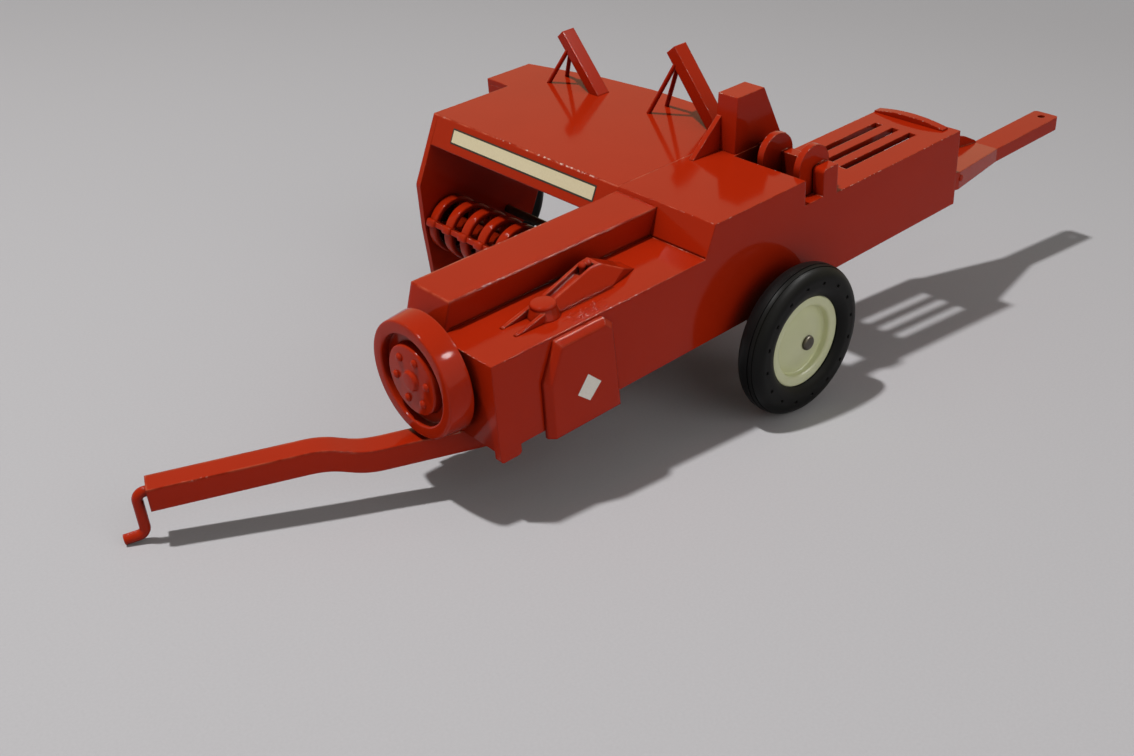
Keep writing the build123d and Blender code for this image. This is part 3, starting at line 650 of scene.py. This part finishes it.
@dataclass
class Wheel:
    """A tyre with two fine shoulder grooves and a row of mould pits, on a dished disc with a crowned web."""

    side: Side
    tyre_radius: float = 24.4
    tyre_width: float = 9.5
    shoulder: float = 4.2
    shoulder_steps: int = 18
    bore: float = 14.9
    bead: float = 16.9
    bead_drop: float = 1.5
    bead_steps: int = 6
    grooves: tuple[float, ...] = (1.1, 2.5)
    groove_depth: float = 0.3
    groove_wall: float = 0.08
    pit_ring: tuple[float, float] = (19.9, 18.9)
    pit_every: int = 6
    pit_first: int = 4
    pit_depth: float = 0.5
    pit_wall: float = 0.18
    rim_inset: float = 1.9
    flange: float = 3.3
    lip_round: float = 1.0
    dish: float = 2.9
    web: float = 1.6
    crown: float = 3.6
    crown_radius: float = 3.0
    foot_round: float = 0.9
    hub_radius: float = 4.2
    axle_fit: float = 1.55

    @property
    def name(self) -> str:
        """The wheel's side as a word."""
        return self.side.name.lower()

    def centre(self) -> Point:
        """The middle of the tyre on the axle."""
        low, high = level_box(f"{self.name}_tyre")
        return tuple((low + high) / 2)

    def web_face(self) -> float:
        """How far the web's rim stands out from the tyre's middle."""
        return self.tyre_width / 2 - self.rim_inset - self.dish

    def where(self, tyre: Turning, face: bmesh.types.BMFace) -> tuple[float, float, float]:
        """A facet's radius, its place outwards along the axle and its angle round it, in radians."""
        middle = face.calc_center_median() - tyre.centre
        return hypot(middle.x, middle.z), self.side.value * middle.y, atan2(middle.z, middle.x)

    def cut_grooves(self, tyre: Turning) -> None:
        """Sinks each groove along the row of outer tread facets that is nearest to its place.

        Args:
            tyre: The tyre.
        """
        for groove in self.grooves:
            tread = []
            for face in tyre.shape.faces:
                radius, place, _ = self.where(tyre, face)
                if radius > self.tyre_radius - self.shoulder:
                    tread.append((face, place))
            nearest = min(abs(place - groove) for _, place in tread)
            row = [
                face for face, place in tread
                if place > 0 and abs(abs(place - groove) - nearest) < SAME_PLACE_MM]
            bmesh.ops.inset_region(
                tyre.shape, faces=row, thickness=self.groove_wall, depth=-self.groove_depth,
                use_even_offset=True, use_boundary=True)

    def cut_pits(self, tyre: Turning) -> None:
        """Sinks a pit in every few facets of the ring on the tyre's outer side.

        Args:
            tyre: The tyre.
        """
        outer, inner = self.pit_ring
        pits = []
        for face in tyre.shape.faces:
            radius, place, angle = self.where(tyre, face)
            facet = round((angle % (2 * pi)) / (2 * pi) * RING_STEPS - 0.5)
            on_ring = inner < radius < outer and place > self.tyre_width / 2 - ON_FACE_MM
            if on_ring and facet % self.pit_every == self.pit_first:
                pits.append(face)
        bmesh.ops.inset_individual(
            tyre.shape, faces=pits, thickness=self.pit_wall, depth=-self.pit_depth, use_even_offset=True)

    def tyre(self, finishes: Finishes) -> None:
        """Moulds the tyre, its grooves and its pits.

        Args:
            finishes: The toy's finishes.
        """
        half, out = self.tyre_width / 2, self.side.value
        tyre = Turning([
            (self.bore, -out * half), (self.tyre_radius, -out * half), (self.tyre_radius, out * half),
            *((radius, out * half) for radius in self.pit_ring),
            (self.bead, out * half), (self.bore, out * (half - self.bead_drop))], self.centre())
        tyre.round_ring(self.bead, out * half, self.bead_drop, self.bead_steps)
        for place in (-half, half):
            tyre.round_ring(self.tyre_radius, place, self.shoulder, self.shoulder_steps)
        self.cut_grooves(tyre)
        self.cut_pits(tyre)
        make_piece(
            f"{self.name}_tyre_rubber", tyre.shape, [finishes.rubber], f"{self.name}_wheel",
            replaces=[f"{self.name}_tyre"], crease=40)

    def hub_end(self) -> float:
        """How far in the hub reaches, along Y from the tyre's middle."""
        ends = [corner.y - self.centre()[1] for corner in level_box(f"{self.name}_rim")]
        return min(ends) if self.side is Side.LEFT else max(ends)

    def disc(self, finishes: Finishes) -> None:
        """Moulds the dished disc with its rolled lip, its crowned web and its hub.

        Args:
            finishes: The toy's finishes.
        """
        out, half, face = self.side.value, self.tyre_width / 2 - self.rim_inset, self.web_face()
        inner, top, hub_end = self.bore - self.flange, face + self.crown, self.hub_end()
        disc = Turning([
            (self.axle_fit, hub_end), (self.hub_radius, hub_end), (self.hub_radius, out * (face - self.web)),
            (inner, out * (face - self.web)), (inner, -out * half), (self.bore, -out * half),
            (self.bore, out * half), (inner, out * half), (inner, out * face),
            (self.crown_radius, out * top), (self.axle_fit, out * top)], self.centre())
        for radius, place, rounding in (
                (inner, face, self.foot_round), (inner, half, self.lip_round),
                (self.bore, half, self.lip_round / 2), (self.crown_radius, top, self.lip_round)):
            disc.round_ring(radius, out * place, rounding)
        make_piece(
            f"{self.name}_wheel_disc", disc.shape, [finishes.plastic], f"{self.name}_wheel",
            replaces=[f"{self.name}_rim"], crease=50)

    def build(self, finishes: Finishes) -> None:
        """Makes the tyre and the disc."""
        self.tyre(finishes)
        self.disc(finishes)


@dataclass
class WheelAxle:
    """The steel axle with a domed, upset head outside each wheel's crowned web."""

    wheels: Sequence[Wheel]
    radius: float = 1.5
    head_radius: float = 2.4
    head_length: float = 1.0
    head_round: float = 0.8
    head_round_steps: int = 6
    head_gap: float = 0.15
    steps: int = 48

    def build(self, finishes: Finishes) -> None:
        """Turns the axle and domes its heads.

        Args:
            finishes: The toy's finishes.
        """
        left, right = sorted(self.wheels, key=lambda wheel: -wheel.side.value)
        low, high = (
            wheel.centre()[1] + wheel.side.value * (wheel.web_face() + wheel.crown + self.head_gap)
            for wheel in (right, left))
        low_tip, high_tip = low - self.head_length, high + self.head_length
        axle = Turning([
            (0.0, low_tip), (self.head_radius, low_tip), (self.head_radius, low), (self.radius, low),
            (self.radius, high), (self.head_radius, high), (self.head_radius, high_tip), (0.0, high_tip)],
            (left.centre()[0], 0.0, left.centre()[2]), steps=self.steps)
        for tip in (low_tip, high_tip):
            axle.round_ring(self.head_radius, tip, self.head_round, self.head_round_steps)
        make_piece(
            "steel_axle", axle.shape, [finishes.steel], "case", replaces=["axle"], crease=50)


@dataclass
class Flywheel:
    """The cast flywheel: a rounded, tapered rim round a raised disc with a low hub and domed bolt heads."""

    centre: Point = (0.0, -3.4, -9.6)
    back: float = 2.4
    width: float = 7.2
    radius: float = 18.0
    rim_radius: float = 17.2
    recess_radius: float = 13.5
    recess_depth: float = 2.8
    disc_radius: float = 10.2
    disc_foot_radius: float = 10.5
    disc_rise: float = 2.7
    hub_radius: float = 3.1
    hub_top_radius: float = 2.7
    hub_rise: float = 1.0
    bore: float = 1.55
    bore_depth: float = 3.6
    rounding: float = 0.5
    dome_count: int = 6
    dome_turn: float = 7.0
    dome_reach: float = 7.0
    dome_radius: float = 1.25
    dome_rise: float = 0.9

    def build(self, finishes: Finishes) -> None:
        """Casts the flywheel and its bolt heads.

        Args:
            finishes: The toy's finishes.
        """
        front = self.back + self.width
        floor = front - self.recess_depth
        disc = floor + self.disc_rise
        hub, bore_end = disc + self.hub_rise, self.back + self.bore_depth
        casting = Turning([
            (self.bore, self.back), (self.radius, self.back), (self.rim_radius, front),
            (self.recess_radius, front), (self.recess_radius, floor), (self.disc_foot_radius, floor),
            (self.disc_radius, disc), (self.hub_radius, disc), (self.hub_top_radius, hub), (0.0, hub),
            (0.0, bore_end), (self.bore, bore_end)], self.centre, Axle.FORWARD)
        for radius, place, sharpness in (
                (self.rim_radius, front, 1), (self.recess_radius, front, 1), (self.disc_radius, disc, 1),
                (self.radius, self.back, 2), (self.recess_radius, floor, 2),
                (self.disc_foot_radius, floor, 2), (self.hub_top_radius, hub, 3), (self.hub_radius, disc, 3)):
            casting.round_ring(radius, place, self.rounding / sharpness)
        make_piece(
            "flywheel_casting", casting.shape, [finishes.enamel], "flywheel_body",
            replaces=["flywheel"], crease=60)
        domes = bmesh.new()
        for number in range(self.dome_count):
            turn = radians(self.dome_turn) + 2 * pi * number / self.dome_count
            out = Vector((disc, self.dome_reach * cos(turn), self.dome_reach * sin(turn)))
            add_ball(domes, Vector(self.centre) + out, self.dome_radius, self.dome_rise)
        make_piece(
            "flywheel_bolt_heads", domes, [finishes.enamel], "flywheel_body",
            replaces=["flywheel_studs"], crease=80)


@dataclass
class ReelDress:
    """The wide, soft-edged bands of the reel's rings and the knobs where its two tine bars cross them."""

    ring_count: int = 10
    ring_width: float = 3.0
    reel_z: float = -31.0
    band_inner: float = 8.4
    band_outer: float = 10.45
    band_width: float = 4.1
    band_round: float = 0.7
    band_round_steps: int = 4
    bar_reach: float = 9.9
    bar_turn: float = 20.0
    knob: Point = (3.6, 4.7, 3.2)
    knob_round: float = 0.9
    knob_round_steps: int = 3

    def build(self, finishes: Finishes) -> None:
        """Finds the reel's rings and dresses them.

        Args:
            finishes: The toy's finishes.
        """
        low, high = level_box("reel_rings")
        first = Vector(((low.x + high.x) / 2, low.y + self.ring_width / 2, self.reel_z))
        spacing = (high.y - low.y - self.ring_width) / (self.ring_count - 1)
        self.bands(first, spacing, finishes)
        self.knobs(first, spacing, finishes)

    def bands(self, first: Vector, spacing: float, finishes: Finishes) -> None:
        """Turns the first band and repeats it along the reel.

        Args:
            first: The middle of the first ring.
            spacing: The way from ring to ring.
            finishes: The toy's finishes.
        """
        half = self.band_width / 2
        turning = Turning([
            (self.band_inner, -half), (self.band_outer, -half), (self.band_outer, half),
            (self.band_inner, half)], first)
        for radius in (self.band_inner, self.band_outer):
            for place in (-half, half):
                turning.round_ring(radius, place, self.band_round, self.band_round_steps)
        shape = turning.shape
        band = [*shape.verts, *shape.edges, *shape.faces]
        for number in range(1, self.ring_count):
            copy = bmesh.ops.duplicate(shape, geom=band)["geom"]
            bmesh.ops.translate(
                shape, verts=[part for part in copy if isinstance(part, bmesh.types.BMVert)],
                vec=(0.0, spacing * number, 0.0))
        make_piece("reel_ring_bands", shape, [finishes.enamel], "pickup_body", crease=60)

    def knobs(self, first: Vector, spacing: float, finishes: Finishes) -> None:
        """Casts a knob wherever a bar crosses a ring.

        Args:
            first: The middle of the first ring.
            spacing: The way from ring to ring.
            finishes: The toy's finishes.
        """
        shape = bmesh.new()
        for number in range(self.ring_count):
            for turn in (radians(self.bar_turn), radians(self.bar_turn) + pi):
                out = Vector((self.bar_reach * cos(turn), spacing * number, self.bar_reach * sin(turn)))
                stand = Matrix.Translation(first + out) @ Matrix.Rotation(-turn, 4, "Y")
                bmesh.ops.create_cube(shape, size=1.0, matrix=stand @ Matrix.Diagonal((*self.knob, 1)))
        round_edges(shape, lambda edge: True, self.knob_round, self.knob_round_steps)
        make_piece("reel_knobs", shape, [finishes.enamel], "pickup_body", crease=60)


@dataclass
class Labels:
    """The blank cream strip with its dark border on the header's sloping band, and the blank diamond."""

    strip_left: float = -28.6
    strip_right: float = -100.9
    strip_low: float = 2.7
    strip_high: float = 7.5
    band_front: float = -82.8
    band_top: float = 9.6
    band_reach: float = 4.6
    band_fall: float = 9.6
    line: float = 0.55
    paper: float = 0.08
    cover_face: float = 22.7
    diamond: tuple[tuple[float, float], ...] = (
        (-29.8, -14.5), (-34.3, -18.8), (-29.9, -23.0), (-25.7, -19.4))

    def on_band(self, y: float, z: float) -> Point:
        """Finds a point just over the band's sloping face.

        Args:
            y: Its Y.
            z: Its height.

        Returns:
            The point.
        """
        x = self.band_front + (self.band_top - z) * (self.band_reach / self.band_fall)
        lift = Vector((self.band_fall, 0, self.band_reach)).normalized() * self.paper
        return tuple(Vector((x, y, z)) + lift)

    def bordered(self, corners: Sequence[Point], line_material: int) -> bmesh.types.BMesh:
        """Makes a paper label with an edge as wide as a printed line.

        Args:
            corners: The label's corners on the painted face, anticlockwise from outside.
            line_material: Material number of the edge.

        Returns:
            The label.
        """
        shape = bmesh.new()
        face = shape.faces.new([shape.verts.new(corner) for corner in corners])
        face.normal_update()
        border = bmesh.ops.inset_region(
            shape, faces=[face], thickness=self.line, depth=0.0, use_even_offset=True, use_boundary=True)
        for edge_face in border["faces"]:
            edge_face.material_index = line_material
        return shape

    def build(self, finishes: Finishes) -> None:
        """Makes the strip and the diamond.

        Args:
            finishes: The toy's finishes.
        """
        strip = self.bordered([
            self.on_band(self.strip_left, self.strip_low), self.on_band(self.strip_left, self.strip_high),
            self.on_band(self.strip_right, self.strip_high), self.on_band(self.strip_right, self.strip_low)],
            line_material=1)
        make_piece("header_label_strip", strip, [finishes.label, finishes.label_line], "case")
        diamond = self.bordered(
            [(x, self.cover_face + self.paper, z) for x, z in self.diamond], line_material=0)
        make_piece("cover_diamond", diamond, [finishes.white_label], "case")


@dataclass
class CheekRivet:
    """The small rivet head on the near cheek of the chute."""

    centre: Point = (-207.9, 17.0, -19.6)
    radius: float = 1.3
    rise: float = 1.0
    rounding: float = 0.6
    round_steps: int = 4
    steps: int = 24

    def build(self, finishes: Finishes) -> None:
        """Domes the head.

        Args:
            finishes: The toy's finishes.
        """
        section = [(0.0, 0.0), (self.radius, 0.0), (self.radius, self.rise), (0.0, self.rise)]
        head = Turning(section, self.centre, steps=self.steps)
        head.round_ring(self.radius, self.rise, self.rounding, self.round_steps)
        make_piece("chute_cheek_rivet", head.shape, [finishes.enamel], "chute_body", crease=50)


@dataclass
class ArmHeads:
    """The soft-edged cap on the plunger arm's boss and the two upset rivet heads in the arm's pit."""

    boss: tuple[float, float] = (-26.7, 9.5)
    cap_foot: float = 3.1
    cap_height: float = 1.1
    cap_radius: float = 3.75
    cap_round: float = 0.7
    cap_steps: int = 64
    rivet_spacing: float = 2.1
    rivet_radius: float = 1.15
    rivet_sink: float = 0.55

    def build(self, finishes: Finishes) -> None:
        """Casts the cap and upsets the heads.

        Args:
            finishes: The toy's finishes.
        """
        cap = bmesh.new()
        middle, top = self.cap_foot + self.cap_height / 2, self.cap_foot + self.cap_height
        bmesh.ops.create_cone(
            cap, cap_ends=True, segments=self.cap_steps, radius1=self.cap_radius, radius2=self.cap_radius,
            depth=self.cap_height, matrix=Matrix.Translation((*self.boss, middle)))
        round_edges(
            cap, lambda edge: all(vert.co.z > top - SAME_PLACE_MM for vert in edge.verts), self.cap_round)
        make_piece("arm_boss_cap", cap, [finishes.fresh_enamel], "case", crease=50)
        low, high = level_box("arm_rivets")
        heads = bmesh.new()
        for side in (-self.rivet_spacing / 2, self.rivet_spacing / 2):
            place = ((low.x + high.x) / 2 + side, (low.y + high.y) / 2, high.z - self.rivet_sink)
            add_ball(heads, place, self.rivet_radius)
        make_piece("arm_rivet_heads", heads, [finishes.fresh_enamel], "case", crease=60)


@dataclass
class PooledEnamel:
    """The small coves of enamel that pooled along the feet of the castings on the front deck.

    Each foot is given by its start, its end and the way out from the casting's wall.
    """

    radius: float = 0.4
    steps: int = 6
    feet: tuple[tuple[Point, Point, Point], ...] = (
        ((-4.0, -2.8, 0.0), (-78.4, -2.8, 0.0), (0.0, 1.0, 0.0)),
        ((-29.6, 11.8, 0.0), (-50.0, 11.8, 0.0), (0.0, 1.0, 0.0)),
        ((-78.9, -2.6, 0.0), (-78.9, 19.6, 0.0), (1.0, 0.0, 0.0)),
    )

    def build(self, finishes: Finishes) -> None:
        """Sweeps each cove along its foot.

        Args:
            finishes: The toy's finishes.
        """
        shape = bmesh.new()
        for start, end, outward in self.feet:
            begin, out = Vector(start), Vector(outward)
            length = Vector(end) - begin
            run = length.normalized()
            middle = begin + (out + UP) * self.radius
            wall = middle - out * self.radius
            ends = [shape.verts.new(wall), shape.verts.new(wall + length)]
            line = shape.edges.new(ends)
            bmesh.ops.spin(
                shape, geom=[*ends, line], cent=middle, axis=run.cross(UP).dot(out) * run, angle=pi / 2,
                steps=self.steps)
        for face in shape.faces:
            face.normal_update()
            if face.normal.z < 0:
                face.normal_flip()
        make_piece("pooled_enamel_coves", shape, [finishes.enamel], "case", crease=80)


@dataclass
class ThickEnamel:
    """The lumpy run of thick enamel that dried on the front deck between the plunger arm and the side cover.

    Its lumps are a coarse noise and a finer, weaker one, raised a little so that more of the run is covered.
    """

    start: tuple[float, float] = (-27.2, 14.2)
    end: tuple[float, float] = (-44.6, 18.8)
    columns: int = 60
    rows: int = 18
    lump_mm: float = 1.2
    fine_size: float = 0.45
    fine_share: float = 0.5
    cover: float = 0.12
    rise: float = 1.1
    sink: float = 0.06
    border_slope: float = 4.0
    border_across: float = 2.2

    def build(self, finishes: Finishes) -> None:
        """Lays the run and raises its lumps, which die away towards its border.

        Args:
            finishes: The toy's finishes.
        """
        (front, near), (rear, far) = self.start, self.end
        shape = bmesh.new()
        bmesh.ops.create_grid(shape, x_segments=self.columns, y_segments=self.rows, size=0.5)
        for vert in shape.verts:
            along, across = vert.co.x + 0.5, vert.co.y + 0.5
            inside = min(along, 1 - along, (across * (1 - across)) * self.border_across) * self.border_slope
            place = Vector((front + (rear - front) * along, near + (far - near) * across, 0.0))
            fine = noise.noise(place / (self.lump_mm * self.fine_size))
            lump = noise.noise(place / self.lump_mm) + self.fine_share * fine
            place.z = -self.sink + self.rise * min(1.0, inside) * max(0.0, lump + self.cover)
            vert.co = place
        bmesh.ops.recalc_face_normals(shape, faces=shape.faces)
        make_piece("thick_enamel_run", shape, [finishes.enamel], "case", crease=80)


# ---- studio ----
@dataclass(frozen=True)
class Lamp:
    """A round soft lamp that looks at the toy: its name, place, diameter in metres and power.

    One for the gloss alone shows in shiny faces and lights nothing else.
    """

    name: str
    place: Point
    size_m: float
    watts: float
    gloss_only: bool = False
    aim: Point = (-100.0, -20.0, 0.0)

    def hang(self) -> None:
        """Hangs the lamp and turns it to the toy."""
        data = bpy.data.lights.new(self.name, "AREA")
        data.shape, data.size, data.energy = "DISK", self.size_m, self.watts
        lamp = bpy.data.objects.new(self.name, data)
        lamp.visible_diffuse = not self.gloss_only
        place = BODY @ Vector(self.place)
        look = (BODY @ Vector(self.aim)) - place
        lamp.matrix_world = Matrix.Translation(place) @ look.to_track_quat("-Z", "Y").to_matrix().to_4x4()
        bpy.context.scene.collection.objects.link(lamp)


@dataclass
class Studio:
    """The pale cloth, the soft lamps, the light of the room and the camera."""

    camera_place: Point = (170.136, 258.356, 179.658)
    camera_right: Point = (-0.74730, 0.66150, -0.06270)
    camera_down: Point = (0.39410, 0.36520, -0.84340)
    camera_ahead: Point = (-0.53500, -0.65500, -0.53360)
    lens_mm: float = 42.97
    sensor_mm: float = 36.0
    clip_m: tuple[float, float] = (0.01, 50.0)
    lamps: tuple[Lamp, ...] = (
        Lamp("softbox", (283.0, -247.0, 1429.0), 0.08, 16.8),
        Lamp("side_panel", (-150.0, 1100.0, 520.0), 1.3, 3.4),
        Lamp("edge_gleam_1", (-403.0, 991.0, 1060.0), 0.22, 6.0, gloss_only=True),
        Lamp("edge_gleam_2", (-875.0, 560.0, 1120.0), 0.24, 18.0, gloss_only=True),
        Lamp("edge_gleam_3", (25.0, -1010.0, 1095.0), 0.16, 1.2, gloss_only=True),
    )
    fill: float = 0.14
    room: str = "#FFFDFA"
    wall: str = "#CBC19D"
    backdrop: str = "#B2B2B5"
    cloth_half_m: float = 3.0

    def camera(self) -> None:
        """Places the camera."""
        data = bpy.data.cameras.new("camera")
        data.lens, data.sensor_width, data.sensor_fit = self.lens_mm, self.sensor_mm, "HORIZONTAL"
        data.clip_start, data.clip_end = self.clip_m
        camera = bpy.data.objects.new("camera", data)
        bpy.context.scene.collection.objects.link(camera)
        turn = BODY.to_quaternion().to_matrix()
        right, down, ahead = (
            turn @ Vector(way) for way in (self.camera_right, self.camera_down, self.camera_ahead))
        axes = Matrix((right.normalized(), -down.normalized(), -ahead.normalized())).transposed()
        camera.matrix_world = Matrix.Translation(BODY @ Vector(self.camera_place)) @ axes.to_4x4()
        bpy.context.scene.camera = camera

    def surroundings(self) -> None:
        """Sets the room's dim light, the wall that the gloss mirrors and the backdrop behind the toy."""
        world = bpy.data.worlds.new("room")
        world.use_nodes = True
        tree = world.node_tree
        tree.nodes.clear()
        room, wall, backdrop = (
            add_node(tree, "ShaderNodeBackground", {"Color": linear(code), "Strength": light})
            for code, light in ((self.room, self.fill), (self.wall, 1.0), (self.backdrop, 1.0)))
        path = add_node(tree, "ShaderNodeLightPath").outputs
        in_gloss = add_node(tree, "ShaderNodeMixShader", {0: path["Is Glossy Ray"], 1: room, 2: wall})
        seen = add_node(tree, "ShaderNodeMixShader", {0: path["Is Camera Ray"], 1: in_gloss, 2: backdrop})
        add_node(tree, "ShaderNodeOutputWorld", {"Surface": seen})
        bpy.context.scene.world = world

    def floor(self) -> None:
        """Lays the cloth."""
        shape = bmesh.new()
        bmesh.ops.create_grid(shape, x_segments=2, y_segments=2, size=self.cloth_half_m)
        mesh = bpy.data.meshes.new("cloth")
        shape.to_mesh(mesh)
        shape.free()
        mesh.materials.append(PaleCloth().build())
        cloth = bpy.data.objects.new("cloth", mesh)
        bpy.context.scene.collection.objects.link(cloth)

    def build(self) -> None:
        """Sets up the studio."""
        self.camera()
        for lamp in self.lamps:
            lamp.hang()
        self.surroundings()
        self.floor()
        bpy.context.scene.view_settings.view_transform = "Standard"


def dress_nodes(finishes: Finishes) -> None:
    """Gives every CAD node its finish.

    Args:
        finishes: The toy's finishes.
    """
    special = {
        "left_tyre": finishes.rubber, "right_tyre": finishes.rubber,
        "left_rim": finishes.plastic, "right_rim": finishes.plastic, "axle": finishes.steel,
        "plunger_arm": finishes.fresh_enamel, "arm_rivets": finishes.fresh_enamel,
        "side_cover": finishes.cast_enamel, "twine_box": finishes.cast_enamel,
        "drawbar": finishes.cast_enamel}
    for name, node in frame["nodes"].items():
        node.data.materials.clear()
        node.data.materials.append(special.get(name, finishes.enamel))
        log.info("%s: %s", name, node.data.materials[0].name)


def main() -> None:
    """Builds the dressed toy, piece by piece."""
    logging.basicConfig(level=logging.INFO, format="%(name)s: %(message)s")
    Studio().build()
    finishes = Finishes.mixed()
    dress_nodes(finishes)
    wheels = [Wheel(side) for side in Side]
    for assembly in (
            *wheels, WheelAxle(wheels), Flywheel(), ReelDress(), Labels(), CheekRivet(), ArmHeads(),
            PooledEnamel(), ThickEnamel()):
        assembly.build(finishes)


if __name__ == "__main__":
    main()
